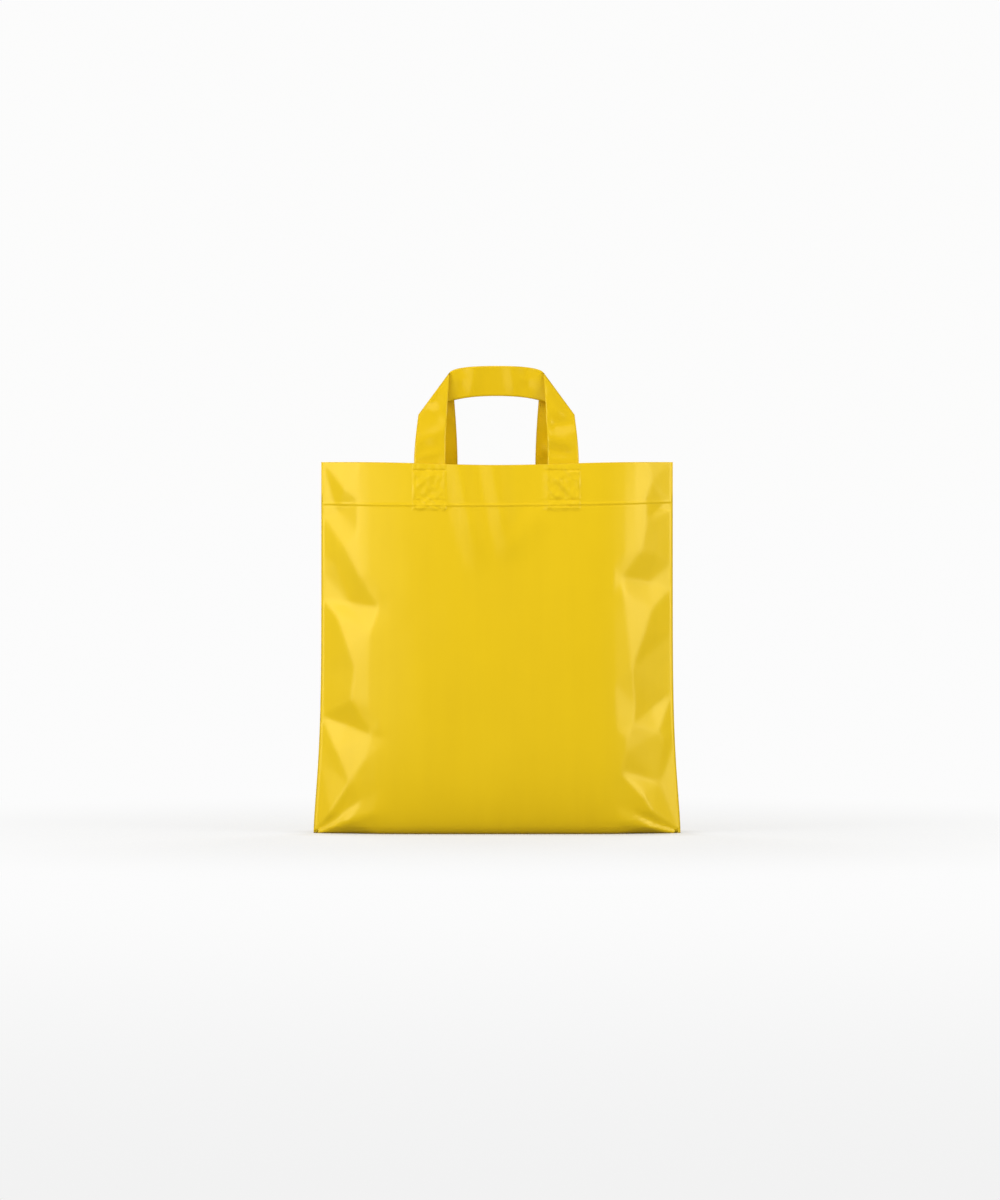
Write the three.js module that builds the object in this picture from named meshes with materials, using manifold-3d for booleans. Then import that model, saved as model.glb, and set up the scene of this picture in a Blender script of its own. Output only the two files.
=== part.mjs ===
// A plastic carrier bag with soft loop handles, standing open on its bottom gusset. Millimetres, +Z up,
// X across the bag, Y through it. The origin is on the floor under the middle of the bag.
// One sheet of film makes the body: it is folded in at the bottom as a gusset, welded down both sides
// and turned in at the mouth as a hem. A strip of film is welded inside each hem and makes a carrying loop.
import * as THREE from "three";
import { mergeVertices } from "three/addons/utils/BufferGeometryUtils.js";
import Module from "manifold-3d";

const wasm = await Module();
wasm.setup();

// Driving dimensions
const FILM = 0.8; // wall of one layer; real film is far thinner than a solid wall can be
const BASE_HALF_WIDTH = 186; // from the middle to a bottom corner
const WAIST_HALF_WIDTH = 178; // where the filled bag has drawn its side seams in
const FLARE_HEIGHT = 80; // over about this height the seams spread to the corners
const CORNER_HEIGHT = 376; // the mouth where it meets a side seam
const MOUTH_SAG = 3; // the mouth hangs this much lower in the middle, between the loops
const HEM = 40; // width of the film turned in at the mouth
const SEAM = 3; // width of the side welds
const GUSSET = 30; // depth of the bottom fold on each side of its middle crease
const BASE_HALF_DEPTH = 28;
const BELLY_HALF_DEPTH = 44; // the fullest the panels would be without the pull of the mouth
const BELLY_RISE = 35; // the base swells into the belly over about this height
const MOUTH_DRAW = 11; // the mouth is this much shallower than the belly
const SECTION_POWER = 5; // how flat the panels are across before they turn to the seams
const SLIT = 0.3; // half of the narrowest gap between the two panels, at the welds

const STRIP = 31.5; // width of a loop's strip
const WELD_LENGTH = 46; // of strip inside the mouth
const WELD_GAP = 0.5; // between the strip and the hem
const TURN = 0.8; // radius at which a strip doubles back at its corner folds
const LOOP_SHIFT = -0.6; // both loops sit a little off the bag's middle
const LOOP_TOP = 473.5; // top edge of the strips
const STRIP_UNDERSIDE = 443; // bottom edge of the strips at the middle
const FOLD_LOW = 424; // a corner fold climbs from here, at the leg's outer edge
const FOLD_HIGH = 467; // to here, at its inner edge
const FRONT_LOOP = { atMouth: 67.5, atFold: 63.2, side: -1 }; // middles of the legs from the loop's middle
const REAR_LOOP = { atMouth: 55.3, atFold: 61, side: 1 };

const COLUMNS = 28; // facets across a panel, without the seam welds
const BODY_ROWS = 15;
const LEG_ROWS = 8;
const WELD_ROWS = 2;
const TURN_ROWS = 4;
const SPAN_ROWS = 8; // along half of the strip between the corner folds

const lerp = THREE.MathUtils.lerp;

// The body's shape

// How far a side seam is from the middle at height z.
function halfWidth(z) {
  const flare = Math.exp(-Math.pow(Math.max(z, 0) / FLARE_HEIGHT, 1.5));
  return WAIST_HALF_WIDTH + (BASE_HALF_WIDTH - WAIST_HALF_WIDTH) * flare;
}

// How far the middle of a panel is from the middle plane at height z.
function fullness(z) {
  const swell = 1 - Math.exp(-z / BELLY_RISE);
  const drawn = MOUTH_DRAW * Math.pow(z / CORNER_HEIGHT, 3);
  return lerp(BASE_HALF_DEPTH, BELLY_HALF_DEPTH, swell) - drawn;
}

// Half of the free space between the panels. across is 0 at the middle and 1 at the start of a weld.
function cavity(across, z) {
  return SLIT + fullness(z) * (1 - Math.pow(Math.abs(across), SECTION_POWER));
}

function mouthHeight(across) {
  return CORNER_HEIGHT - MOUTH_SAG * Math.pow(1 - across * across, 4);
}

// The underside: flat in the middle, and a tent towards each seam, where the gusset's crease is held up.
function gussetHeight(across, through) {
  const climb = THREE.MathUtils.smoothstep(Math.abs(across), 0.6, 1);
  return GUSSET * climb * (1 - Math.abs(through));
}

// Columns are closer together towards the seams, where the panels turn.
function columnAt(i) {
  return Math.sin(((2 * i) / COLUMNS - 1) * (Math.PI / 2));
}

// Row heights as shares of the bag's height, closer together at the base, with a pair at the hem's edge.
const ROW_SHARES = [];
for (let k = 0; k <= BODY_ROWS; k++) {
  ROW_SHARES.push(Math.pow(k / BODY_ROWS, 1.25));
}
const HEM_SHARE = (CORNER_HEIGHT - MOUTH_SAG - HEM) / (CORNER_HEIGHT - MOUTH_SAG);
const hemRow = ROW_SHARES.findIndex((share) => share > HEM_SHARE);
ROW_SHARES.splice(hemRow, 0, HEM_SHARE, HEM_SHARE + 0.001);
const ROWS = ROW_SHARES.length - 1;

// Solids

// A box of nx by ny by nz cells, with each of its corners moved to the point that place gives.
function moulded(nx, ny, nz, place) {
  const box = new THREE.BoxGeometry(nx, ny, nz, nx, ny, nz);
  const corners = box.getAttribute("position");
  for (let n = 0; n < corners.count; n++) {
    const i = Math.round(corners.getX(n) + nx / 2);
    const j = Math.round(corners.getY(n) + ny / 2);
    const k = Math.round(corners.getZ(n) + nz / 2);
    const point = place(i, j, k);
    corners.setXYZ(n, point.x, point.y, point.z);
  }
  box.deleteAttribute("normal");
  box.deleteAttribute("uv");
  return mergeVertices(box, 1e-4);
}

function asManifold(geometry) {
  return new wasm.Manifold(
    new wasm.Mesh({
      numProp: 3,
      vertProperties: new Float32Array(geometry.getAttribute("position").array),
      triVerts: new Uint32Array(geometry.index.array),
    }),
  );
}

function asGeometry(solid) {
  const mesh = solid.getMesh();
  const geometry = new THREE.BufferGeometry();
  geometry.setAttribute("position", new THREE.BufferAttribute(mesh.vertProperties, 3));
  geometry.setIndex(new THREE.BufferAttribute(mesh.triVerts, 1));
  geometry.computeVertexNormals();
  return geometry;
}

// The outside of the body, closed across the mouth, with the side welds as flat fins.
function bodyOutside() {
  return moulded(COLUMNS + 2, 4, ROWS, (i, j, k) => {
    const onFin = i === 0 || i === COLUMNS + 2;
    const across = onFin ? Math.sign(i - 1) : columnAt(i - 1);
    const through = j / 2 - 1;
    const low = onFin ? 0 : gussetHeight(across, through);
    const z = lerp(low, mouthHeight(across), ROW_SHARES[k]);
    const x = across * (halfWidth(z) - (onFin ? 0 : SEAM));
    return new THREE.Vector3(x, through * (cavity(across, z) + FILM), z);
  });
}

// The space inside, which runs on past the mouth. It is one layer smaller than the outside, and two
// layers smaller at the hem.
function bodyInside() {
  const past = 1.05; // of the bag's height
  return moulded(COLUMNS, 4, ROWS, (i, j, k) => {
    const across = columnAt(i);
    const through = j / 2 - 1;
    const layers = ROW_SHARES[k] > HEM_SHARE ? 1 : 0;
    const slope = gussetHeight(across, 0) / cavity(across, 0);
    const low = gussetHeight(across, through) + FILM * Math.hypot(1, slope);
    const share = k === ROWS ? past : ROW_SHARES[k];
    const z = lerp(low, mouthHeight(across), share);
    const x = across * (halfWidth(Math.min(z, CORNER_HEIGHT)) - SEAM);
    const room = Math.max(SLIT, cavity(across, Math.min(z, CORNER_HEIGHT)) - layers * FILM);
    return new THREE.Vector3(x, through * room, z);
  });
}

function bodyGeometry() {
  return asGeometry(asManifold(bodyOutside()).subtract(asManifold(bodyInside())));
}

// The face of the hem that a strip is welded to, as a distance from the middle plane.
function hemFace(x, z) {
  const across = x / (halfWidth(z) - SEAM);
  return cavity(across, z) - FILM - WELD_GAP - FILM / 2;
}

// A row of a strip is a pair of points: one on the edge that is a leg's outer edge and the strip's
// bottom edge, and one on the other edge. Rows here are for the leg at -X, with the hem at -Y.
function weldRow(middle, z) {
  return [-STRIP / 2, STRIP / 2].map((offset) => {
    const x = -middle + offset;
    return new THREE.Vector3(x, -hemFace(x, z), z);
  });
}

// Where a leg ends and the strip doubles back behind it: a slanting line, low at the leg's outer edge.
function cornerFold(loop) {
  return [
    new THREE.Vector3(-loop.atFold - STRIP / 2, -15, FOLD_LOW),
    new THREE.Vector3(-loop.atFold + STRIP / 2, -3.6, FOLD_HIGH),
  ];
}

function legRows(loop) {
  const rows = [];
  const mouth = weldRow(loop.atMouth, mouthHeight(loop.atMouth / WAIST_HALF_WIDTH));
  for (let k = 0; k < WELD_ROWS; k++) {
    rows.push(weldRow(loop.atMouth, mouth[0].z - WELD_LENGTH * (1 - k / WELD_ROWS)));
  }
  const fold = cornerFold(loop);
  const edges = mouth.map((start, e) => {
    const rise = (fold[e].z - start.z) * 0.35;
    const straightUp = start.clone().add(new THREE.Vector3(0, rise * 0.1, rise));
    return new THREE.QuadraticBezierCurve3(start, straightUp, fold[e]);
  });
  for (let k = 0; k < LEG_ROWS; k++) {
    rows.push(edges.map((edge) => edge.getPoint(k / LEG_ROWS)));
  }
  return rows;
}

// The half turn round the fold line, from the leg's plane to a plane behind it.
function turnRows(loop) {
  const fold = cornerFold(loop);
  const along = fold[1].clone().sub(fold[0]).normalize();
  const behind = new THREE.Vector3(0, 1, 0);
  behind.addScaledVector(along, -along.y).normalize();
  const outward = along.clone().cross(behind).negate();
  const rows = [];
  for (let k = 0; k <= TURN_ROWS; k++) {
    const angle = (Math.PI * k) / TURN_ROWS;
    rows.push(
      fold.map((end) =>
        end
          .clone()
          .addScaledVector(outward, TURN * Math.sin(angle))
          .addScaledVector(behind, TURN * (1 - Math.cos(angle))),
      ),
    );
  }
  return rows;
}

// From the corner fold to the middle of the strip that joins the legs.
function spanRows(loop, turned) {
  const [low, high] = turned;
  const bottom = new THREE.CubicBezierCurve3(
    low,
    new THREE.Vector3(lerp(low.x, 0, 0.3), -8, STRIP_UNDERSIDE - 5),
    new THREE.Vector3(lerp(low.x, 0, 0.55), -3.2, STRIP_UNDERSIDE),
    new THREE.Vector3(0, -3.2, STRIP_UNDERSIDE),
  );
  const top = new THREE.CubicBezierCurve3(
    high,
    new THREE.Vector3(lerp(high.x, 0, 0.08), -1.7, LOOP_TOP - 2),
    new THREE.Vector3(lerp(high.x, 0, 0.4), -1.6, LOOP_TOP),
    new THREE.Vector3(0, -1.6, LOOP_TOP),
  );
  const rows = [];
  for (let k = 1; k <= SPAN_ROWS; k++) {
    rows.push([bottom, top].map((edge) => edge.getPoint(k / SPAN_ROWS)));
  }
  return rows;
}

// A whole loop: up one leg, across and down the other, which is the first one's mirror image.
function loopGeometry(loop) {
  const up = legRows(loop);
  up.push(...turnRows(loop));
  up.push(...spanRows(loop, up[up.length - 1]));
  const down = up
    .slice(0, -1)
    .reverse()
    .map((row) => row.map((point) => new THREE.Vector3(-point.x, point.y, point.z)));
  const rows = [...up, ...down];
  const last = rows.length - 1;
  const solid = moulded(2, last, 1, (i, j, k) => {
    const point = rows[j][0].clone().lerp(rows[j][1], i / 2);
    const width = rows[j][1].clone().sub(rows[j][0]);
    const ahead = rows[Math.min(j + 1, last)][0].clone().lerp(rows[Math.min(j + 1, last)][1], i / 2);
    const before = rows[Math.max(j - 1, 0)][0].clone().lerp(rows[Math.max(j - 1, 0)][1], i / 2);
    const normal = width.cross(ahead.sub(before)).normalize();
    return point.addScaledVector(normal, (k - 0.5) * FILM);
  });
  solid.scale(1, -loop.side, 1);
  if (loop.side > 0) {
    const index = solid.index;
    for (let n = 0; n < index.count; n += 3) {
      const kept = index.getX(n);
      index.setX(n, index.getX(n + 1));
      index.setX(n + 1, kept);
    }
  }
  solid.computeVertexNormals();
  return solid;
}

const film = new THREE.MeshStandardMaterial({ color: 0xe9c423, roughness: 0.32, metalness: 0 });
const strip = new THREE.MeshStandardMaterial({ color: 0xe9c423, roughness: 0.36, metalness: 0 });

function named(name, geometry, material) {
  const mesh = new THREE.Mesh(geometry, material);
  mesh.name = name;
  return mesh;
}

const bag = new THREE.Group();
bag.add(named("bag_body", bodyGeometry(), film));
for (const [name, loop] of [
  ["front_loop", FRONT_LOOP],
  ["rear_loop", REAR_LOOP],
]) {
  const mesh = named(name, loopGeometry(loop), strip);
  mesh.position.x = LOOP_SHIFT;
  bag.add(mesh);
}

export default bag;
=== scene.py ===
"""A glossy film carrier bag with soft loop handles, standing open on its bottom gusset.

The body is one sheet of film: folded in at the bottom as a gusset, welded down both sides and turned
in at the mouth as a hem. A strip of film is welded inside each hem and doubles back at its top corners
to make a carrying loop. Lengths are in metres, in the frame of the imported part.
"""

import math

import bmesh
import bpy
import numpy as np
from bpy.props import FloatProperty, FloatVectorProperty, PointerProperty
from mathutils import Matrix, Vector, geometry, noise


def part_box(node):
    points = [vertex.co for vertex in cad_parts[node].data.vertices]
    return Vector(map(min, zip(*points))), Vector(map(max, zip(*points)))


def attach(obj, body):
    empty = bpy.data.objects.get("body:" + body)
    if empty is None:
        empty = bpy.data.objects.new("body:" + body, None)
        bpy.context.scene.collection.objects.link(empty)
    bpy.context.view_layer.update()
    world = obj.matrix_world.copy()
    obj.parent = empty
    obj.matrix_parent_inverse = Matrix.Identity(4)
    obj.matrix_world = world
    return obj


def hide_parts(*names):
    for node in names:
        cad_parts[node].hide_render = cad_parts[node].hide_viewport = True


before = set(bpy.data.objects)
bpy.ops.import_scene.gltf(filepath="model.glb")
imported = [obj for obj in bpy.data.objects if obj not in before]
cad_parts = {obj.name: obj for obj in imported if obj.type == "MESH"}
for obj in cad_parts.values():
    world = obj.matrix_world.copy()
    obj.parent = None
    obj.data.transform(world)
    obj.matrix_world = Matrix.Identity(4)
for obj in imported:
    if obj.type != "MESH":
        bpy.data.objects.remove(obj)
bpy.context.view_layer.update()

bl_info = {
    "name": "Loop Handle Carrier Bag",
    "version": (1, 0, 0),
    "blender": (4, 5, 0),
    "location": "3D View > Sidebar > Carrier Bag",
    "description": "Builds a film carrier bag with soft loop handles, standing on its gusset",
    "category": "Add Mesh",
}

MM = 0.001
_, BODY_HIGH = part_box("bag_body")
LOOP_LOW, LOOP_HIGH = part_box("front_loop")
FRONT, REAR = -1, 1
LOOP_MIDDLE = (LOOP_LOW.x + LOOP_HIGH.x) / 2
LEG_AT_MOUTH = {FRONT: 67.5 * MM, REAR: 55.3 * MM}  # the middle of a leg from the middle of its loop
LEG_AT_FOLD = {FRONT: 63.2 * MM, REAR: 61 * MM}  # the same, where the strip doubles back

# The form of the filled bag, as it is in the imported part
BASE_HALF_WIDTH = BODY_HIGH.x
CORNER_HEIGHT = BODY_HIGH.z
BELLY_HALF_DEPTH = BODY_HIGH.y
WAIST_HALF_WIDTH = BASE_HALF_WIDTH - 8 * MM  # the bulging panels draw the seams in by this much
FLARE_HEIGHT = 80 * MM  # the sides spread below this height
FLARE_POWER = 1.5
BASE_HALF_DEPTH = 28 * MM
BELLY_RISE = 35 * MM  # how quickly the panels swell above the base
MOUTH_DRAW = 11 * MM  # the mouth is drawn in by this much
DRAW_POWER = 3
SAG_POWER = 4
SECTION_POWER = 5  # a panel's section is flat in its middle and steep at the seams
BASE_TUCK = 5 * MM  # the bottom fold turns under by this much
BASE_TUCK_HEIGHT = 3.2 * MM
TUCK_OPEN_AT = 45 * MM  # the fold turns under fully from this far in from the seams
OPEN_AT = 60 * MM  # the panels' waves and folds are at full height from this far in
SEAM = 1.8 * MM  # width of the weld down each side

# The grid of the film: (where a stretch ends, size of its facets), in millimetres. Columns run from a
# seam to the middle, and rows from the base to just under the mouth. Facets are fine at creases and welds.
COLUMN_STRETCHES = [(64, 1.9), (90, 3.2), (128, 1.4), (178, 6)]
ROW_STRETCHES = [(8, 1.3), (322, 3.4), (341, 0.9), (366, 2.3), (370, 0.8)]
EDGE_ROW = 0.4 * MM  # the last row under the mouth's edge, which keeps the edge sharp
HEM_GAP = 0.6 * MM  # between the two layers of the hem
EDGE_ROWS = 4  # between the last row of the list and the mouth's corners
TURN_ROWS = 2
HEM_INSIDE_ROWS = 4
GUSSET_ROWS = 10
GUSSET_CLIMB_FROM = 0.6  # share of the half width where the gusset starts to rise to the side weld
MERGE_REACH = 0.02 * MM


def lerp(a, b, t):
    return a + (b - a) * t


def smoothstep(low, high, x):
    t = min(1.0, max(0.0, (x - low) / (high - low)))
    return t * t * (3 - 2 * t)


def bump(off, width):
    """A smooth bump of height 1, as a function of the distance from its middle."""
    return math.exp(-((off / width) ** 2))


# ---------------------------------------------------------------- the form of the body


def half_width(z):
    """How far a side seam is from the middle at height z."""
    flare = math.exp(-((max(z, 0) / FLARE_HEIGHT) ** FLARE_POWER))
    return lerp(WAIST_HALF_WIDTH, BASE_HALF_WIDTH, flare)


def fullness(z):
    """How far the middle of a panel is from the middle plane at height z."""
    swell = 1 - math.exp(-max(z, 0) / BELLY_RISE)
    drawn = MOUTH_DRAW * (z / CORNER_HEIGHT) ** DRAW_POWER
    return lerp(BASE_HALF_DEPTH, BELLY_HALF_DEPTH, swell) - drawn


def plain_depth(x, z):
    """The depth of a panel without creases, at a place across the bag."""
    return full_depth(half_width(z) - SEAM - abs(x), z)


def full_depth(inset, z):
    """The depth of a panel without creases, at a distance from its side seam."""
    across = 1 - inset / half_width(z)
    return fullness(z) * (1 - abs(across) ** SECTION_POWER)


def mouth_height(across, sag):
    """The height of the mouth's edge at a share of the half width."""
    return CORNER_HEIGHT - sag * (1 - across * across) ** SAG_POWER


# ---------------------------------------------------------------- creases of the film

# Each crease is a line of points (inset from the seam, height, sink under the full form). The first two
# are in millimetres and the sink is in units of SINK_SCALE. A seam pulls the film in at pinches, and from
# each of them a valley runs to a tip on the open panel. A negative sink is a ridge.
LEFT_CREASES = [
    [(0, 375, 0), (22, 348, 0), (11, 337, 3), (0, 335, 0)],
    [(0, 330, 0), (16, 326, 3.4), (0, 320, 0)],
    [(0, 320, 0), (23, 288.5, 0), (38, 261, 0), (57, 229, 1)],
    [(0, 281, 0), (13, 273, 2.4), (0, 264, 0)],
    [(0, 236.5, 0), (28, 232.5, 6.5), (57, 229, 1)],
    [(0, 236.5, 0), (14, 220.5, 1), (26, 187, 0), (33, 167, 0)],
    [(57, 229, 1), (49, 207, 0), (33, 167, 0)],
    [(0, 162.5, 0), (33, 167, 0), (29.5, 135, 0), (51, 101, 1)],
    [(0, 120, 0), (25, 111, 6), (51, 101, 1)],
    [(0, 117, 0), (15, 85, 1), (31, 53, 0)],
    [(51, 101, 1), (45, 75, 0), (34, 52, 0)],
    [(0, 88, 0), (10, 81, 1.6), (0, 73, 0)],
    [(0, 70, 0), (18, 62, 2), (34, 52, 0), (14, 20, -1.7), (0, 3, 0)],
    [(0, 2, 0), (24, 19, 1.4), (46, 35, 0.7), (62, 46, 0)],
    [(0, 1, 0), (32, 12, -1.9), (58, 21, -1.3), (79, 27, 0)],
]
RIGHT_CREASES = [
    [(0, 375, 0), (20, 358, 0), (26, 340, 0), (6, 334, 2), (0, 334, 0)],
    [(0, 333, 0), (12, 330, 3), (0, 327, 0)],
    [(0, 327, 0), (30.5, 286.5, 0), (51, 259.5, 1)],
    [(0, 290, 0), (14, 284, 1.6), (0, 272, 0)],
    [(0, 249.5, 0), (23, 254.5, 6), (51, 259.5, 1)],
    [(0, 248, 0), (19, 228, 1), (27, 203, 0)],
    [(51, 259.5, 1), (48, 244, 0), (43, 196, 0)],
    [(0, 216, 0), (10, 210, 1.6), (0, 204, 0)],
    [(0, 204, 0), (27, 203, 0), (40, 168, 0), (38, 132, 1.5), (40, 112, 1)],
    [(0, 142, 0), (20, 127, 5), (40, 112, 1)],
    [(0, 140, 0), (14, 103, 1)],
    [(0, 103, 0), (8, 98, 0), (0, 92, 0)],
    [(0, 58, 0), (17, 51, 4), (34, 44, 0.5)],
    [(55, 63, 0), (34, 38, -0.8), (26, 22, -1.8), (0, 3, 0)],
    [(0, 2, 0), (26, 13, 1.3), (48, 24, 0.7), (66, 32, 0)],
    [(0, 1, 0), (30, 7, -1.6), (56, 13, -1.3), (79, 17, 0)],
]
# Where the open panel starts, past the creases: (inset, height), from the mouth down
LEFT_OPEN_EDGE = [(22, 376), (25, 348), (20, 322), (27, 288), (42, 261), (61, 229), (53, 207), (38, 167),
                  (38, 135), (55, 101), (49, 75), (42, 52), (80, 34)]
RIGHT_OPEN_EDGE = [(20, 376), (27, 345), (16, 325), (35, 286), (55, 259), (52, 244), (47, 196), (46, 168),
                   (44, 112), (36, 90), (58, 63), (58, 50), (80, 30)]
NET_INSET = 80 * MM  # the creases end this far in from the seams
OPEN_STEP = 11 * MM  # between the points that hold the open panel to the full form
OPEN_MARGIN = 5 * MM  # how far past the open edge those points stop
NET_BELOW = 2 * MM  # how far the creases' facets run on under the base and over the mouth
NET_ABOVE = 3 * MM
FRONT_REACH = 1.0
REAR_REACH = 0.9  # how far in the rear panel's creases reach, as a share of the front panel's
LAYER_GAP = 0.25 * MM  # half the distance between the panels at their welds
NO_AREA = 1e-12
ON_EDGE = 1e-6
FACETS_TO = 50 * MM  # facets are flat up to this inset, and follow the full form past FORM_FROM
FORM_FROM = 76 * MM
SINK_SCALE = 1.3 * MM  # how far a crease point with a sink of 1 lies under the full form
ROUNDING = 1.8 * MM  # how far the film's stiffness rounds off the facets' edges
ROUNDING_PASSES = 10
SHARP_SINK = 1.4 * MM  # a crease with a point sunk or raised this far stays sharp
SHARP_REACH = 1.5 * MM  # film this close to a sharp crease is held to it
CREASE_OVERRUN = 0.02  # and this share of the crease past its ends
FIRM_INSET = 1 * MM  # film this close to a seam, or this low, is held too
FIRM_HEIGHT = 4 * MM
MOST_ROUNDING = 0.45  # the largest share that one pass moves a point towards its neighbours

# The slack film's waves: (length across, length up, height), broad and fine
BROAD_WAVES = (45 * MM, 80 * MM, 0.5 * MM)
FINE_WAVES = (14 * MM, 26 * MM, 0.12 * MM)
FINE_SEED = 7

# Soft folds: (x, height) of each end, the width at each end and the height of the fold, in millimetres.
# A negative height is a trough. On the panel they run down from the mouth between the loops.
PANEL_FOLDS = [
    ((-43, 380), (-20, 268), (8.5, 6), 5.2),
    ((-7, 380), (9, 280), (8.5, 6), 5.4),
    ((38, 322), (6, 282), (7, 6), 1.4),
]
LEE = 2.2  # the panel's folds are this much gentler on one side
FADE_IN = (-0.3, 0.05)  # where a fold starts and ends, as shares of its length
FADE_OUT = (0.55, 1.15)

# The hem's weld, and the strips' welded ends that show through the hem
WELD_HEIGHT = 332.8 * MM
WELD_DRIFT = 1 * MM  # the weld is this much higher at the right seam than the left one's mirror image
WELD_LIFT = 2.4 * MM  # and this much higher at both seams than in the middle
WELD_RIDGE_WIDTH = 0.9 * MM
WELD_RIDGE_HEIGHT = 0.75 * MM
WELD_GROOVE_BELOW = 1.8 * MM  # a groove half as deep as the ridge runs this far under it
PRINT_BOTTOM = 327.6 * MM
PRINT_MARGIN = 0.7 * MM  # the print is wider than the strip by this much at each side
PRINT_CLEAR = 4 * MM  # no print is left past this distance
PRINT_EDGE = 0.8 * MM  # half the width over which the print rises
PRINT_RIM_HEIGHT = 0.9 * MM
PRINT_RIM_WIDTH = 1.1 * MM
PRINT_RELIEF = 0.5 * MM
# How the print's edges wander and its film crumples: (length of a wave, height)
SIDE_WANDER = (2.6 * MM, 0.7 * MM)
BOTTOM_WANDER = (3 * MM, 0.6 * MM)
CRUMPLE_ACROSS = 5 * MM
CRUMPLE_UP = 4 * MM
CRUMPLE_HEIGHT = 1 * MM
HEM_RELIEF_FROM = PRINT_BOTTOM - 5 * MM
PRINT_LINES = [(368, 0.9, -0.8), (337.7, 0.8, -0.6), (330.2, 0.8, 0.7)]  # height, width and relief
PRINT_FOLDS = {
    -1: [((-81, 352), (-62, 366), (2.4, 2.4), 0.9), ((-77, 338), (-58, 349), (2.2, 3), -0.8)],
    1: [((60, 359), (77, 340), (1.8, 1.8), 1.4), ((71, 368), (82, 356), (1.8, 1.8), 1.2),
        ((54, 346), (64, 340), (1.8, 1.8), 0.9)],
}


def edge_at(edge, z):
    """The inset of an edge of (inset, height) points, given from the top down, at height z."""
    for (inset, height), (next_inset, next_height) in zip(edge, edge[1:]):
        if z >= next_height * MM:
            share = (height * MM - z) / ((height - next_height) * MM)
            return lerp(inset, next_inset, max(0.0, share)) * MM
    return NET_INSET


class CreaseNet:
    """The facets between one side's creases, which turn a point of the flat film into a depth."""

    def __init__(self, creases, open_edge, reach):
        places, edges = [], []
        for crease in creases:
            for n, (inset, height, _) in enumerate(crease):
                places.append(Vector((inset * MM * reach, height * MM)))
                if n:
                    edges.append((len(places) - 2, len(places) - 1))
        sinks = [sink * SINK_SCALE for crease in creases for _, _, sink in crease]
        bottom, top = -NET_BELOW, CORNER_HEIGHT + NET_ABOVE
        places += [Vector((-1 * MM, bottom)), Vector((-1 * MM, top))]
        for n in range(round((top - bottom) / OPEN_STEP) + 1):
            z = min(top, bottom + n * OPEN_STEP)
            inset = NET_INSET
            while inset > edge_at(open_edge, z) * reach + OPEN_MARGIN or inset == NET_INSET:
                places.append(Vector((inset, z)))
                inset -= OPEN_STEP
        sinks += [0.0] * (len(places) - len(sinks))
        self.sharp = [
            (places[a], places[b])
            for a, b in edges
            if max(abs(sinks[a]), abs(sinks[b])) >= SHARP_SINK
        ]
        found = geometry.delaunay_2d_cdt(places, edges, [], 0, ON_EDGE)
        points, triangles, origins = found[0], found[2], found[3]
        self.points = points
        self.sinks = [sinks[origin[0]] if origin else 0.0 for origin in origins]
        self.depths = [full_depth(max(p.x, 0), p.y) - s for p, s in zip(points, self.sinks)]
        self.triangles = triangles
        self.last = triangles[0]

    def shares(self, triangle, place):
        """The weights of a triangle's corners at a place, or None outside it."""
        a, b, c = (self.points[n] for n in triangle)
        area = (b - a).cross(c - a)
        if abs(area) < NO_AREA:
            return None
        u = (b - place).cross(c - place) / area
        v = (c - place).cross(a - place) / area
        w = 1 - u - v
        return (u, v, w) if min(u, v, w) > -ON_EDGE else None

    def is_sharp(self, inset, z):
        """Whether a place is on a crease that stays sharp."""
        place = Vector((inset, z))
        for start, end in self.sharp:
            nearest, share = geometry.intersect_point_line(place, start, end)
            beside = -CREASE_OVERRUN < share < 1 + CREASE_OVERRUN
            if beside and (nearest.to_2d() - place).length < SHARP_REACH:
                return True
        return False

    def depth(self, inset, z):
        """How far the film is from the middle plane at a place beside the seam."""
        place = Vector((inset, z))
        form = full_depth(inset, z)
        for triangle in (self.last, *self.triangles):
            shares = self.shares(triangle, place)
            if shares:
                self.last = triangle
                flat = sum(w * self.depths[n] for w, n in zip(shares, triangle))
                sunk = form - sum(w * self.sinks[n] for w, n in zip(shares, triangle))
                return lerp(flat, sunk, smoothstep(FACETS_TO, FORM_FROM, inset))
        return form


def fold_height(x, z, folds, lee=1.0):
    """The height of the soft folds at a place. lee makes each one this much wider on one side."""
    total = 0.0
    place = Vector((x, z))
    for start, end, widths, height in folds:
        a, b = Vector(start) * MM, Vector(end) * MM
        along = b - a
        t = (place - a).dot(along) / along.length_squared
        off = (place - a).cross(along.normalized())
        fade = (1 - smoothstep(*FADE_OUT, t)) * smoothstep(*FADE_IN, t)
        width = lerp(*widths, min(1.0, max(0.0, t))) * MM * (lee if off < 0 else 1)
        total += height * MM * fade * bump(off, width)
    return total


def hem_relief(x, z, side, size):
    """How far the hem's weld and the strips' ends behind it stand out of the film."""
    across = x / half_width(z)
    weld = WELD_HEIGHT + WELD_DRIFT * across + WELD_LIFT * across * across
    ridge = bump(z - weld, WELD_RIDGE_WIDTH)
    groove = bump(z - weld + WELD_GROOVE_BELOW, WELD_RIDGE_WIDTH)
    relief = WELD_RIDGE_HEIGHT * (ridge - 0.5 * groove)
    for end in (-1, 1):
        relief += strip_print(x, z, side, end, size)
    return relief


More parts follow.
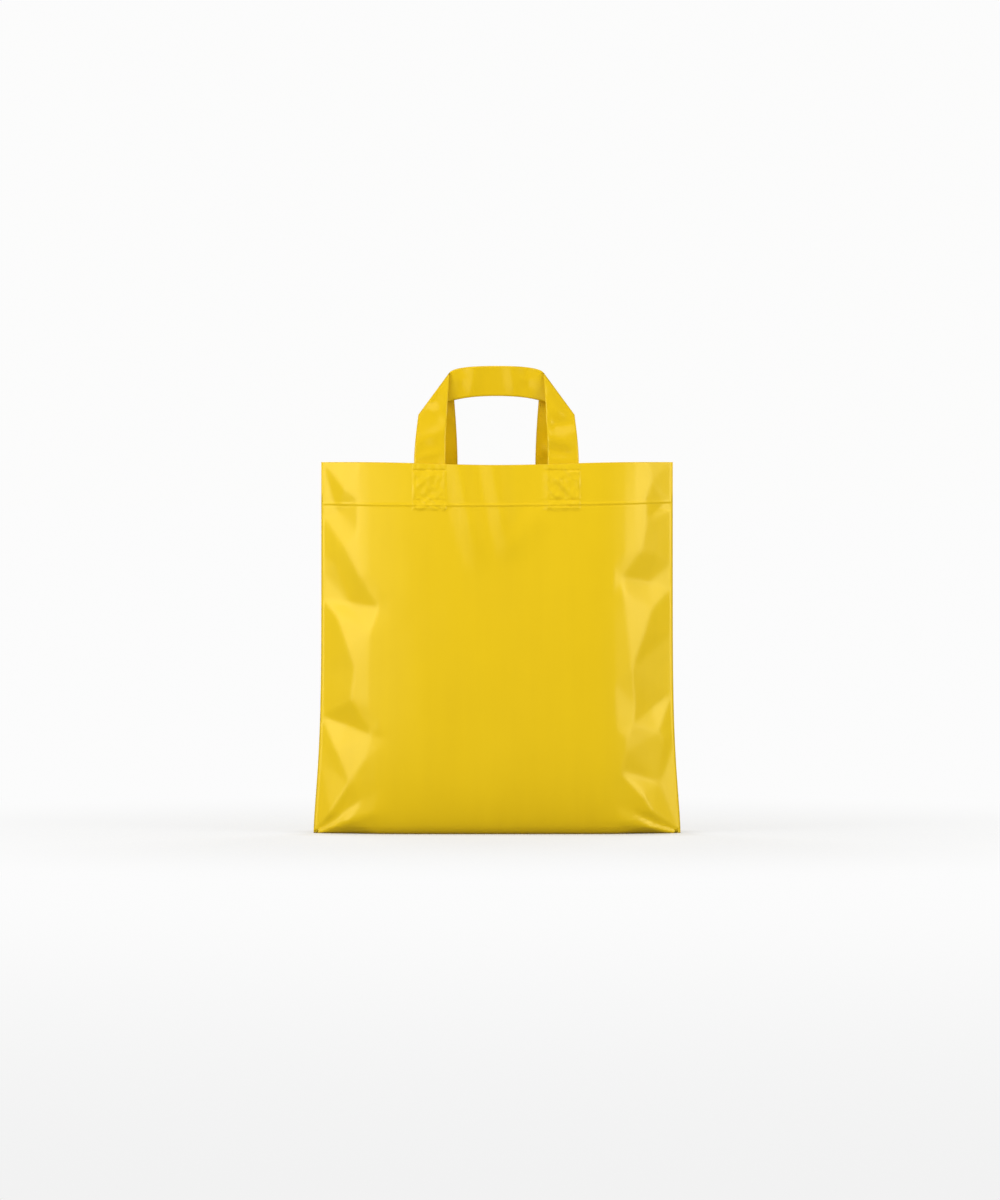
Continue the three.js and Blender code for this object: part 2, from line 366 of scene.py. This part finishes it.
def strip_print(x, z, side, end, size):
    """The crumpled print that a strip's welded end makes in the hem. end is -1 for the end at -X."""
    middle = LOOP_MIDDLE + end * LEG_AT_MOUTH[side]
    half = size.strip / 2 + PRINT_MARGIN
    if abs(x - middle) > half + PRINT_CLEAR or z < PRINT_BOTTOM - PRINT_CLEAR:
        return 0.0
    length, height = SIDE_WANDER
    inwards = half - abs(x - middle) + height * noise.noise(Vector((z / length, end * 5, side * 9)))
    length, height = BOTTOM_WANDER
    upwards = z - PRINT_BOTTOM - height * noise.noise(Vector((x / length, end * 3, side)))
    share = smoothstep(-PRINT_EDGE, PRINT_EDGE, inwards) * smoothstep(-PRINT_EDGE, PRINT_EDGE, upwards)
    crumple = noise.noise(Vector((x / CRUMPLE_ACROSS, z / CRUMPLE_UP, side * 4 + end)))
    relief = PRINT_RELIEF + CRUMPLE_HEIGHT * crumple
    relief += PRINT_RIM_HEIGHT * bump(inwards, PRINT_RIM_WIDTH)
    for height, width, rise in PRINT_LINES:
        relief += rise * MM * bump(z - height * MM, width * MM)
    if side == FRONT:
        relief += fold_height(x, z, PRINT_FOLDS[end])
    return relief * share


def slack(x, z, seed):
    """The faint waves of film that nothing holds taut."""
    total = 0.0
    for (across, up, height), offset in ((BROAD_WAVES, 0), (FINE_WAVES, FINE_SEED)):
        total += height * noise.noise(Vector((x / across, z / up, seed + offset)))
    return total


class Panel:
    """One of the body's two panels: how far its film is from the middle plane at any place."""

    def __init__(self, side):
        self.side = side
        reach = FRONT_REACH if side == FRONT else REAR_REACH
        self.nets = {
            -1: CreaseNet(LEFT_CREASES, LEFT_OPEN_EDGE, reach),
            1: CreaseNet(RIGHT_CREASES, RIGHT_OPEN_EDGE, reach),
        }

    def depth(self, x, z):
        """How far the film is from the middle plane at a place across the bag."""
        inset = half_width(z) - abs(x)
        if inset <= SEAM:
            return LAYER_GAP * min(1.0, inset / MM)
        free = inset - SEAM
        net = self.nets[-1 if x < 0 else 1]
        depth = net.depth(free, z) if free < NET_INSET else full_depth(free, z)
        open_share = smoothstep(0, OPEN_AT, inset)
        depth += slack(x, z, self.side) * open_share
        depth -= BASE_TUCK * math.exp(-max(z, 0) / BASE_TUCK_HEIGHT) * smoothstep(0, TUCK_OPEN_AT, inset)
        if self.side == FRONT:
            depth += fold_height(x, z, PANEL_FOLDS, LEE) * open_share
        return max(LAYER_GAP, depth)

    def is_firm(self, x, z):
        """Whether the film is held where it is: at a seam, at the bottom fold or on a sharp crease."""
        free = half_width(z) - abs(x) - SEAM
        if free < FIRM_INSET or z < FIRM_HEIGHT:
            return True
        return free < NET_INSET and self.nets[-1 if x < 0 else 1].is_sharp(free, z)


def neighbour_mean(values, places):
    """The mean of each row's two neighbours, weighted so that a straight line stays straight."""
    steps = np.diff(places)[:, None]
    before, after = 1 / steps[:-1], 1 / steps[1:]
    return (values[:-2] * before + values[2:] * after) / (before + after)


def rounded(values, places, firm):
    """One pass of rounding along the rows of a grid."""
    steps = np.diff(places)[:, None]
    share = np.minimum(MOST_ROUNDING, ROUNDING**2 / ROUNDING_PASSES / (steps[:-1] * steps[1:]))
    inner = values[1:-1]
    moved = inner + share * (neighbour_mean(values, places) - inner)
    result = values.copy()
    result[1:-1] = np.where(firm[1:-1], inner, moved)
    return result


class FilmGrid:
    """The depths of a panel's film over the whole grid, with its facets' edges rounded off."""

    def __init__(self, panel, columns, levels):
        self.levels = levels
        spots = [[(across * half_width(z), z) for across in columns] for z in levels]
        depths = np.array([[panel.depth(x, z) for x, z in row] for row in spots])
        firm = np.array([[panel.is_firm(x, z) for x, z in row] for row in spots])
        breadths = np.array(columns) * WAIST_HALF_WIDTH
        for _ in range(ROUNDING_PASSES):
            depths = rounded(depths, np.array(levels), firm)
            depths = rounded(depths.T, breadths, firm.T).T
        self.depths = depths

    def depth(self, i, z):
        """The depth at column i and height z."""
        return float(np.interp(z, self.levels, self.depths[:, i]))


# ---------------------------------------------------------------- sizes and colours


class CarrierBagSizes(bpy.types.PropertyGroup):
    """The sizes of the film, its folds and its welds"""

    film: FloatProperty(
        name="Film thickness", description="Thickness of one layer of film",
        default=0.2 * MM, unit="LENGTH",
    )
    hem: FloatProperty(
        name="Hem", description="Width of the film turned in at the mouth",
        default=40 * MM, unit="LENGTH",
    )
    sag: FloatProperty(
        name="Mouth sag", description="How much lower the mouth is in its middle",
        default=3 * MM, unit="LENGTH",
    )
    gusset: FloatProperty(
        name="Gusset", description="Depth of each half of the bottom fold",
        default=30 * MM, unit="LENGTH",
    )
    strip: FloatProperty(
        name="Strip width", description="Width of the loops' strip",
        default=31.5 * MM, unit="LENGTH",
    )
    weld: FloatProperty(
        name="Loop weld", description="Length of strip welded inside the hem",
        default=46 * MM, unit="LENGTH",
    )


class CarrierBagColours(bpy.types.PropertyGroup):
    """The colours of the film and the floor"""

    film: FloatVectorProperty(
        name="Film", description="Colour of the film", subtype="COLOR", size=3,
        default=(0.86, 0.58, 0.009),
    )
    # The deep colour is also painted shade: the loops are given it all over, which makes them darker than
    # the same film on the body.
    deep_and_loop_shade: FloatVectorProperty(
        name="Deep film", description="Colour of the film where it is thicker", subtype="COLOR",
        size=3, default=(0.77, 0.5, 0.006),
    )
    floor: FloatVectorProperty(
        name="Floor", description="Colour of the studio floor", subtype="COLOR", size=3,
        default=(0.74, 0.74, 0.735),
    )


def sizes():
    return bpy.context.scene.carrier_bag_sizes


def colours():
    return bpy.context.scene.carrier_bag_colours


# ---------------------------------------------------------------- materials

STREAKS = (60, 60, 3)  # scale of the streaks along each axis: film is drawn upwards as it is blown
CLOUDS_SCALE = 14
GRAIN_SCALE = 900
CLOUDS_ROUGHNESS = 0.08
GRAIN_HEIGHT = 0.25  # the grain's height as a share of the streaks'
BUMP_STRENGTH = 0.12
BUMP_DISTANCE = 0.2 * MM
FILM_IOR = 1.5
HIGHLIGHT_TINT = (1, 0.86, 0.35, 1)
BODY_GLOSS = 0.26  # roughness before the clouds' share
LOOP_GLOSS = 0.2
FILM_SOCKETS = (
    ("Film", "INPUT", "NodeSocketColor"),
    ("Deep", "INPUT", "NodeSocketColor"),
    ("Gloss", "INPUT", "NodeSocketFloat"),
    ("Color", "OUTPUT", "NodeSocketColor"),
    ("Roughness", "OUTPUT", "NodeSocketFloat"),
    ("Height", "OUTPUT", "NodeSocketFloat"),
)


def film_surface_group():
    """Faint unevenness of blown film: its colour, gloss and height vary a little over the surface."""
    name = "Blown film"
    if name in bpy.data.node_groups:
        return bpy.data.node_groups[name]
    group = bpy.data.node_groups.new(name, "ShaderNodeTree")
    for label, way, kind in FILM_SOCKETS:
        group.interface.new_socket(label, in_out=way, socket_type=kind)
    nodes, links = group.nodes, group.links
    inputs, outputs = nodes.new("NodeGroupInput"), nodes.new("NodeGroupOutput")
    place = nodes.new("ShaderNodeTexCoord")
    streaks_place = nodes.new("ShaderNodeMapping")
    streaks_place.inputs["Scale"].default_value = STREAKS
    links.new(place.outputs["Object"], streaks_place.inputs["Vector"])

    def noise_texture(where, scale, detail):
        texture = nodes.new("ShaderNodeTexNoise")
        texture.inputs["Scale"].default_value = scale
        texture.inputs["Detail"].default_value = detail
        links.new(where, texture.inputs["Vector"])
        return texture.outputs["Fac"]

    def scaled_sum(value, share, base):
        step = nodes.new("ShaderNodeMath")
        step.operation = "MULTIPLY_ADD"
        step.inputs[1].default_value = share
        links.new(value, step.inputs[0])
        links.new(base, step.inputs[2])
        return step.outputs[0]

    streaks = noise_texture(streaks_place.outputs["Vector"], 1, 3)
    clouds = noise_texture(place.outputs["Object"], CLOUDS_SCALE, 2)
    grain = noise_texture(place.outputs["Object"], GRAIN_SCALE, 2)

    mixed = nodes.new("ShaderNodeMath")
    mixed.operation = "MULTIPLY"
    links.new(streaks, mixed.inputs[0])
    links.new(clouds, mixed.inputs[1])
    tone = nodes.new("ShaderNodeMix")
    tone.data_type = "RGBA"
    links.new(mixed.outputs[0], tone.inputs["Factor"])
    links.new(inputs.outputs["Film"], tone.inputs["A"])
    links.new(inputs.outputs["Deep"], tone.inputs["B"])
    links.new(tone.outputs["Result"], outputs.inputs["Color"])

    links.new(scaled_sum(clouds, CLOUDS_ROUGHNESS, inputs.outputs["Gloss"]), outputs.inputs["Roughness"])
    links.new(scaled_sum(grain, GRAIN_HEIGHT, streaks), outputs.inputs["Height"])
    return group


def film_material(name, film, deep_and_loop_shade, gloss):
    """Glossy coloured film."""
    material = bpy.data.materials.new(name)
    material.use_nodes = True
    nodes, links = material.node_tree.nodes, material.node_tree.links
    shader = nodes["Principled BSDF"]
    surface = nodes.new("ShaderNodeGroup")
    surface.node_tree = film_surface_group()
    surface.inputs["Film"].default_value = (*film, 1)
    surface.inputs["Deep"].default_value = (*deep_and_loop_shade, 1)
    surface.inputs["Gloss"].default_value = gloss
    relief = nodes.new("ShaderNodeBump")
    relief.inputs["Strength"].default_value = BUMP_STRENGTH
    relief.inputs["Distance"].default_value = BUMP_DISTANCE
    links.new(surface.outputs["Height"], relief.inputs["Height"])
    links.new(surface.outputs["Color"], shader.inputs["Base Color"])
    links.new(surface.outputs["Roughness"], shader.inputs["Roughness"])
    links.new(relief.outputs["Normal"], shader.inputs["Normal"])
    shader.inputs["IOR"].default_value = FILM_IOR
    shader.inputs["Specular Tint"].default_value = HIGHLIGHT_TINT
    return material


# ---------------------------------------------------------------- making meshes


def moulded_grid(bm, columns, rows, place):
    """Adds a grid of columns by rows cells, with each corner moved to the point that place gives."""
    made = bmesh.ops.create_grid(bm, x_segments=columns, y_segments=rows, size=1)
    for vert in made["verts"]:
        i = round((vert.co.x + 1) / 2 * columns)
        j = round((vert.co.y + 1) / 2 * rows)
        vert.co = place(i, j)


def finished_piece(bm, name, material, thickness):
    """Makes a mesh object of the film in bm, closed to a thin wall."""
    mesh = bpy.data.meshes.new(name)
    bm.to_mesh(mesh)
    bm.free()
    piece = bpy.data.objects.new(name, mesh)
    bpy.context.scene.collection.objects.link(piece)
    mesh.materials.append(material)
    for polygon in mesh.polygons:
        polygon.use_smooth = True
    wall = piece.modifiers.new("Film", "SOLIDIFY")
    wall.thickness = thickness
    wall.offset = 0
    return piece


def grid_steps(stretches):
    """Distances of a grid's lines from its start, for stretches of (end, size of facets)."""
    steps = [0.0]
    for end, facet in stretches:
        start = steps[-1]
        count = round((end - start) / facet)
        steps += [lerp(start, end, (n + 1) / count) for n in range(count)]
    return steps


def column_places():
    """Where the columns of the film's grid are, from -1 at the left seam to 1 at the right one."""
    steps = grid_steps(COLUMN_STRETCHES)
    half = [1 - step / steps[-1] for step in steps]
    return [-share for share in half] + list(reversed(half[:-1]))


class CARRIERBAG_OT_body(bpy.types.Operator):
    """Build the body: two panels, the hem and the gusset, as one folded sheet of film"""

    bl_idname = "carrierbag.body"
    bl_label = "Body"

    def execute(self, context):
        size = sizes()
        columns = column_places()
        last = len(columns) - 1
        levels = [step * MM for step in grid_steps(ROW_STRETCHES)]
        tops = [levels[-1] + (CORNER_HEIGHT - levels[-1]) * (n + 1) / EDGE_ROWS for n in range(EDGE_ROWS)]
        panels = {side: FilmGrid(Panel(side), columns, levels + tops) for side in (FRONT, REAR)}
        outside = len(levels) + 1
        count = outside + TURN_ROWS + HEM_INSIDE_ROWS

        def row_height(across, j):
            """The height of a row of the film, up the panel and then down the inside of the hem."""
            if j < len(levels):
                return levels[j]
            top = mouth_height(across, size.sag)
            if j == len(levels):
                return top - EDGE_ROW
            down = max(0, j - outside - TURN_ROWS) / HEM_INSIDE_ROWS
            return top - down * size.hem

        def panel_point(side):
            def place(i, j):
                across = columns[i]
                z = row_height(across, j)
                x = across * half_width(z)
                depth = panels[side].depth(i, z)
                inside = max(0, j - outside)
                if inside:
                    within = HEM_GAP * min(1.0, inside / TURN_ROWS)
                    depth = max(LAYER_GAP / 2, depth - within)
                elif z > HEM_RELIEF_FROM and depth > 2 * LAYER_GAP:
                    depth += hem_relief(x, z, side, size)
                return Vector((x, side * depth, z))

            return place

        def gusset_point(i, j):
            across = columns[i]
            through = 2 * j / GUSSET_ROWS - 1
            climb = smoothstep(GUSSET_CLIMB_FROM, 1, abs(across))
            low = size.gusset * climb * (1 - abs(through))
            x = across * half_width(low)
            side = FRONT if through < 0 else REAR
            return Vector((x, side * abs(through) * panels[side].depth(i, 0), low))

        bm = bmesh.new()
        moulded_grid(bm, last, count, panel_point(FRONT))
        moulded_grid(bm, last, count, panel_point(REAR))
        moulded_grid(bm, last, GUSSET_ROWS, gusset_point)
        bmesh.ops.remove_doubles(bm, verts=bm.verts, dist=MERGE_REACH)
        bmesh.ops.recalc_face_normals(bm, faces=bm.faces)
        material = film_material("Body film", colours().film, colours().deep_and_loop_shade, BODY_GLOSS)
        body = finished_piece(bm, "film_body", material, size.film)
        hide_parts("bag_body")
        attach(body, "root")
        return {"FINISHED"}


# ---------------------------------------------------------------- the loops

# Rows of the strip along each stretch of half a loop, from its welded end
WELD_STEPS = 14
LEG_STEPS = 34
TURN_STEPS = 8
SPAN_STEPS = 36
STRIP_COLUMNS = 16
LEG_END = WELD_STEPS + LEG_STEPS
SPAN_START = LEG_END + TURN_STEPS
LOOPS = [(FRONT, "front_loop", "front_carrying_loop"), (REAR, "rear_loop", "rear_carrying_loop")]
TURN_RADIUS = 0.8 * MM
WELD_DEPTH = 1.3 * MM  # from the outside of the hem to the middle of the strip welded inside it
FOLD_LOW = Vector((-15 * MM, 424 * MM))  # Y and height of the ends of the fold where the strip doubles back
FOLD_HIGH = Vector((-3.6 * MM, 467 * MM))
STRIP_UNDERSIDE = 443 * MM
STRIP_TOP = 473.5 * MM
LEG_SPRING = 0.35  # how far up its length a leg still rises straight from the mouth
LEG_LEAN = 0.1
# The span's two edges from a corner to the middle: (x as a share of the corner's, distance from the
# middle plane, height over the edge's own middle)
UNDERSIDE_CURVE = [(0.7, -8 * MM, -5 * MM), (0.45, -3.2 * MM, 0), (0, -3.2 * MM, 0)]
TOP_CURVE = [(0.92, -1.7 * MM, -2 * MM), (0.6, -1.6 * MM, 0), (0, -1.6 * MM, 0)]
BLEND_ROWS = 6  # over which the strip's folds fade in past its welded end and its corners
MOUTH_ROWS = 12  # over which a leg stops following the panel's creases
TURN_FLAT_ROWS = 4  # before a corner, where the strip is flat again

# Where the strips are creased and dented by being carried: folds as on the panel
LEG_FOLDS = {
    -1: [((-78, 430), (-52, 428), (5, 8), 1.8), ((-64, 440), (-50, 416), (7, 6), -2.4),
         ((-82, 390), (-54, 410), (8, 6), 2.2), ((-86, 384), (-64, 400), (7, 6), -1.8),
         ((-84, 379), (-56, 386), (4, 4), 0.9)],
    1: [((49, 444), (66, 420), (7, 6), 2.2), ((58, 414), (80, 414), (7, 6), -2.2),
        ((54, 402), (80, 394), (8, 7), 2.2), ((50, 388), (78, 384), (7, 5), -1.8)],
}
SPAN_FOLDS = [
    ((-38, 476), (-36, 442), (7, 7), -2), ((-22, 478), (-26, 442), (7, 7), 1.6),
    ((30, 476), (33, 442), (7, 7), -2), ((14, 478), (19, 442), (7, 7), 1.4),
    ((-44, 459), (-30, 460), (6, 4), 0.9), ((24, 460), (40, 459), (4, 6), 0.9),
]


def bezier(points, t):
    """A point on a Bezier curve of any degree."""
    while len(points) > 1:
        points = [a.lerp(b, t) for a, b in zip(points, points[1:])]
    return points[0]


def loop_rows(side):
    """Pairs of edge points from the welded end of the leg at -X to the middle of the loop.

    Here the hem is at -Y. The other half of the loop is this half's mirror image.
    """
    size = sizes()
    half = size.strip / 2
    at_mouth, at_fold = LEG_AT_MOUTH[side], LEG_AT_FOLD[side]
    mouth_z = mouth_height(at_mouth / WAIST_HALF_WIDTH, size.sag)

    def weld_row(z):
        places = (at_mouth + half, at_mouth - half)
        return [Vector((-x, -plain_depth(x, z) + WELD_DEPTH, z)) for x in places]

    rows = [weld_row(mouth_z - size.weld * (1 - k / WELD_STEPS)) for k in range(WELD_STEPS)]
    mouth = weld_row(mouth_z)
    fold = [Vector((-at_fold - half, *FOLD_LOW)), Vector((-at_fold + half, *FOLD_HIGH))]
    edges = []
    for start, end in zip(mouth, fold):
        rise = (end.z - start.z) * LEG_SPRING
        edges.append([start, start + Vector((0, rise * LEG_LEAN, rise)), end])
    rows += [[bezier(edge, k / LEG_STEPS) for edge in edges] for k in range(LEG_STEPS)]

    along = (fold[1] - fold[0]).normalized()
    behind = Vector((0, 1, 0))
    behind = (behind - along * along.y).normalized()
    outward = -along.cross(behind)
    for k in range(TURN_STEPS + 1):
        angle = math.pi * k / TURN_STEPS
        moved = outward * TURN_RADIUS * math.sin(angle) + behind * TURN_RADIUS * (1 - math.cos(angle))
        rows.append([end + moved for end in fold])

    edges = []
    curves = ((STRIP_UNDERSIDE, UNDERSIDE_CURVE), (STRIP_TOP, TOP_CURVE))
    for corner, (middle_z, curve) in zip(rows[-1], curves):
        points = [Vector((corner.x * share, depth, middle_z + rise)) for share, depth, rise in curve]
        edges.append([corner, *points])
    rows += [[bezier(edge, k / SPAN_STEPS) for edge in edges] for k in range(1, SPAN_STEPS + 1)]
    return rows


class CARRIERBAG_OT_loops(bpy.types.Operator):
    """Build the two carrying loops, each a strip of film that doubles back at its corners"""

    bl_idname = "carrierbag.loops"
    bl_label = "Loops"

    def execute(self, context):
        size = sizes()
        # The loops take the darker deep colour in place of the film colour: painted shade, so the same film
        # looks darker on the loops than on the body.
        material = film_material("Loop film", colours().deep_and_loop_shade, colours().deep_and_loop_shade, LOOP_GLOSS)
        for side, node, name in LOOPS:
            half = loop_rows(side)
            mirrored = [[Vector((-p.x, p.y, p.z)) for p in row] for row in reversed(half[:-1])]
            rows = half + mirrored
            middles = [row[0].lerp(row[1], 0.5) for row in rows]
            length = sum((a - b).length for a, b in zip(middles, middles[1:]))
            panel = Panel(side)

            def place(i, j):
                point = rows[j][0].lerp(rows[j][1], i / STRIP_COLUMNS)
                x, depth, z = point.x + LOOP_MIDDLE, -point.y, point.z
                from_end = min(j, len(rows) - 1 - j)
                if from_end > SPAN_START:
                    share = smoothstep(SPAN_START, SPAN_START + BLEND_ROWS, from_end)
                    depth += fold_height(x, z, SPAN_FOLDS) * share
                else:
                    free = smoothstep(WELD_STEPS, WELD_STEPS + BLEND_ROWS, from_end)
                    flat = 1 - smoothstep(LEG_END - TURN_FLAT_ROWS, LEG_END, from_end)
                    depth += fold_height(x, z, LEG_FOLDS[-1 if x < 0 else 1]) * free * flat
                    level = min(z, CORNER_HEIGHT)
                    drawn = panel.depth(x, level) - plain_depth(x, level)
                    depth += drawn * (1 - smoothstep(WELD_STEPS, WELD_STEPS + MOUTH_ROWS, from_end))
                return Vector((x, side * depth, z))

            bm = bmesh.new()
            moulded_grid(bm, STRIP_COLUMNS, len(rows) - 1, place)
            bmesh.ops.recalc_face_normals(bm, faces=bm.faces)
            piece = finished_piece(bm, name, material, size.film)
            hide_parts(node)
            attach(piece, "root")
        return {"FINISHED"}


# ---------------------------------------------------------------- the studio

# Each soft light: name, place, height it faces on the bag, width, height and power
SOFTBOXES = [
    ("top_softbox", (-0.3, -0.6, 2.4), 0.15, 2.0, 1.6, 19),
    ("key_softbox", (-1.2, -2.8, 0.5), 0.2, 1.4, 1.4, 10),
    ("left_softbox", (-1.8, -1.15, 0.65), 0.2, 1.2, 1.5, 29.5),
    ("right_softbox", (1.8, -1.15, 0.65), 0.2, 1.2, 1.5, 29),
    ("rear_left_softbox", (-1.5, 2.4, 1.2), 0.2, 1.4, 1.6, 34),
    ("rear_right_softbox", (1.5, 2.4, 1.2), 0.2, 1.4, 1.6, 34),
]
FLOOR_RADIUS = 40
CAMERA_DISTANCE = 8.0
CAMERA_HEIGHT = 0.4
CAMERA_AIM = Vector((3 * MM, 0, 236.3 * MM))
VIEW_HEIGHT = 1.216  # how much the camera takes in at the bag
SENSOR_WIDTH = 36
CLIP_END = 200

BACKGROUND_LIGHT = 0.972  # how bright the background looks
LIT_COLOUR = (1, 1, 0.99, 1)  # of the background's light on the bag
SEEN_COLOUR = (1, 1, 0.998, 1)
NEAR_FLOOR_LIGHT = 0.885  # the floor's own glow nearest the camera
FLOOR_GLOW = 0.66  # the floor's glow around the bag, as a share of what it shows
CONTACT_GLOW = 0.2  # and right under it, where its shadow is seen
AMBIENT_LIGHT = 0.26  # how bright the background is to the bag
FLOOR_BOUNCE = 0.3  # how much light the floor throws back at it
FLOOR_ROUGHNESS = 0.8
FLOOR_SPECULAR = 0.1
NEAR_FLOOR = (-4.2, -0.9)  # over this stretch the near floor brightens to the background
CONTACT_REACH = 0.06  # how far from the base its shadow reaches
FLOOR_FADE = (0.25, 0.9)  # from the bag, over which the floor fades into its glow
BASE_CORNER = (BASE_HALF_WIDTH - 20 * MM, 20 * MM, 0)  # of the rectangle that the shadow lies round


def softbox(name, place, aim_height, width, height, power):
    """Adds a soft rectangular light at place, facing the bag."""
    light = bpy.data.lights.new(name, "AREA")
    light.shape = "RECTANGLE"
    light.size = width
    light.size_y = height
    light.energy = power
    lamp = bpy.data.objects.new(name, light)
    bpy.context.scene.collection.objects.link(lamp)
    lamp.visible_camera = False
    lamp.location = place
    aim = Vector((0, 0, aim_height))
    lamp.rotation_euler = (aim - Vector(place)).to_track_quat("-Z", "Y").to_euler()


def floor_material():
    """A pale matt floor, which fades into the even light of the studio's background."""
    material = bpy.data.materials.new("Studio floor")
    material.use_nodes = True
    nodes, links = material.node_tree.nodes, material.node_tree.links
    matt = nodes["Principled BSDF"]
    matt.inputs["Base Color"].default_value = (*colours().floor, 1)
    matt.inputs["Roughness"].default_value = FLOOR_ROUGHNESS
    matt.inputs["Specular IOR Level"].default_value = FLOOR_SPECULAR
    place = nodes.new("ShaderNodeTexCoord")

    def vector_step(operation, source, other=(0, 0, 0)):
        node = nodes.new("ShaderNodeVectorMath")
        node.operation = operation
        links.new(source, node.inputs[0])
        if operation in ("SUBTRACT", "MAXIMUM"):
            node.inputs[1].default_value = other
        return node

    length = vector_step("LENGTH", place.outputs["Object"])
    folded = vector_step("ABSOLUTE", place.outputs["Object"])
    beyond = vector_step("SUBTRACT", folded.outputs["Vector"], BASE_CORNER)
    clear = vector_step("LENGTH", vector_step("MAXIMUM", beyond.outputs["Vector"]).outputs["Vector"])
    across = nodes.new("ShaderNodeSeparateXYZ")
    links.new(place.outputs["Object"], across.inputs[0])

    def ramp(source, stretch, values):
        """A number that runs smoothly from one value to another over a stretch of the source."""
        node = nodes.new("ShaderNodeMapRange")
        node.interpolation_type = "SMOOTHSTEP"
        node.inputs["From Min"].default_value, node.inputs["From Max"].default_value = stretch
        node.inputs["To Min"].default_value, node.inputs["To Max"].default_value = values
        links.new(source, node.inputs["Value"])
        return node.outputs["Result"]

    glow = nodes.new("ShaderNodeEmission")
    near = ramp(across.outputs["Y"], NEAR_FLOOR, (NEAR_FLOOR_LIGHT, BACKGROUND_LIGHT))
    links.new(near, glow.inputs["Strength"])
    faded = nodes.new("ShaderNodeMixShader")
    beside = ramp(clear.outputs["Value"], (0, CONTACT_REACH), (CONTACT_GLOW, FLOOR_GLOW))
    outwards = ramp(length.outputs["Value"], FLOOR_FADE, (FLOOR_GLOW, 1))
    links.new(beside, outwards.node.inputs["To Min"])
    links.new(outwards, faded.inputs["Fac"])
    links.new(matt.outputs["BSDF"], faded.inputs[1])
    links.new(glow.outputs["Emission"], faded.inputs[2])
    bounce = nodes.new("ShaderNodeBsdfDiffuse")
    bounce.inputs["Color"].default_value = (FLOOR_BOUNCE, FLOOR_BOUNCE, FLOOR_BOUNCE, 1)
    seen = nodes.new("ShaderNodeLightPath")
    choice = nodes.new("ShaderNodeMixShader")
    links.new(seen.outputs["Is Camera Ray"], choice.inputs["Fac"])
    links.new(bounce.outputs["BSDF"], choice.inputs[1])
    links.new(faded.outputs["Shader"], choice.inputs[2])
    links.new(choice.outputs["Shader"], nodes["Material Output"].inputs["Surface"])
    return material


def studio_world():
    """An even pale background, whose own light on the bag is dimmer than it looks."""
    world = bpy.data.worlds.new("Studio")
    world.use_nodes = True
    nodes, links = world.node_tree.nodes, world.node_tree.links
    lit = nodes["Background"]
    lit.inputs["Color"].default_value = LIT_COLOUR
    lit.inputs["Strength"].default_value = AMBIENT_LIGHT
    seen = nodes.new("ShaderNodeBackground")
    seen.inputs["Color"].default_value = SEEN_COLOUR
    seen.inputs["Strength"].default_value = BACKGROUND_LIGHT
    path = nodes.new("ShaderNodeLightPath")
    choice = nodes.new("ShaderNodeMixShader")
    links.new(path.outputs["Is Camera Ray"], choice.inputs["Fac"])
    links.new(lit.outputs["Background"], choice.inputs[1])
    links.new(seen.outputs["Background"], choice.inputs[2])
    links.new(choice.outputs["Shader"], nodes["World Output"].inputs["Surface"])
    return world


class CARRIERBAG_OT_stage(bpy.types.Operator):
    """Build the pale floor, the soft lights, the even background and the camera"""

    bl_idname = "carrierbag.stage"
    bl_label = "Stage"

    def execute(self, context):
        scene = context.scene
        bm = bmesh.new()
        bmesh.ops.create_circle(bm, cap_ends=True, radius=FLOOR_RADIUS, segments=64)
        mesh = bpy.data.meshes.new("studio_floor")
        bm.to_mesh(mesh)
        bm.free()
        floor = bpy.data.objects.new("studio_floor", mesh)
        scene.collection.objects.link(floor)
        mesh.materials.append(floor_material())

        scene.world = studio_world()
        for light in SOFTBOXES:
            softbox(*light)

        data = bpy.data.cameras.new("Camera")
        camera = bpy.data.objects.new("Camera", data)
        scene.collection.objects.link(camera)
        data.sensor_width = SENSOR_WIDTH
        data.lens = SENSOR_WIDTH * CAMERA_DISTANCE / VIEW_HEIGHT
        data.clip_end = CLIP_END
        camera.location = (CAMERA_AIM.x, -CAMERA_DISTANCE, CAMERA_HEIGHT)
        camera.rotation_euler = (CAMERA_AIM - camera.location).to_track_quat("-Z", "Y").to_euler()
        scene.camera = camera
        scene.view_settings.view_transform = "Standard"
        return {"FINISHED"}


class CARRIERBAG_PT_panel(bpy.types.Panel):
    """Lists the bag's sizes, colours and pieces"""

    bl_label = "Carrier Bag"
    bl_idname = "CARRIERBAG_PT_panel"
    bl_space_type = "VIEW_3D"
    bl_region_type = "UI"
    bl_category = "Carrier Bag"

    def draw(self, context):
        layout = self.layout
        for group in (sizes(), colours()):
            for name in group.__annotations__:
                layout.prop(group, name)
        for operator in OPERATORS:
            layout.operator(operator.bl_idname)


OPERATORS = (CARRIERBAG_OT_body, CARRIERBAG_OT_loops, CARRIERBAG_OT_stage)
CLASSES = (CarrierBagSizes, CarrierBagColours, *OPERATORS, CARRIERBAG_PT_panel)


def register():
    for cls in CLASSES:
        bpy.utils.register_class(cls)
    bpy.types.Scene.carrier_bag_sizes = PointerProperty(type=CarrierBagSizes)
    bpy.types.Scene.carrier_bag_colours = PointerProperty(type=CarrierBagColours)


def unregister():
    del bpy.types.Scene.carrier_bag_colours
    del bpy.types.Scene.carrier_bag_sizes
    for cls in reversed(CLASSES):
        bpy.utils.unregister_class(cls)


def main():
    register()
    bpy.ops.carrierbag.body()
    bpy.ops.carrierbag.loops()
    bpy.ops.carrierbag.stage()
    bpy.context.view_layer.update()


if __name__ == "__main__":
    main()
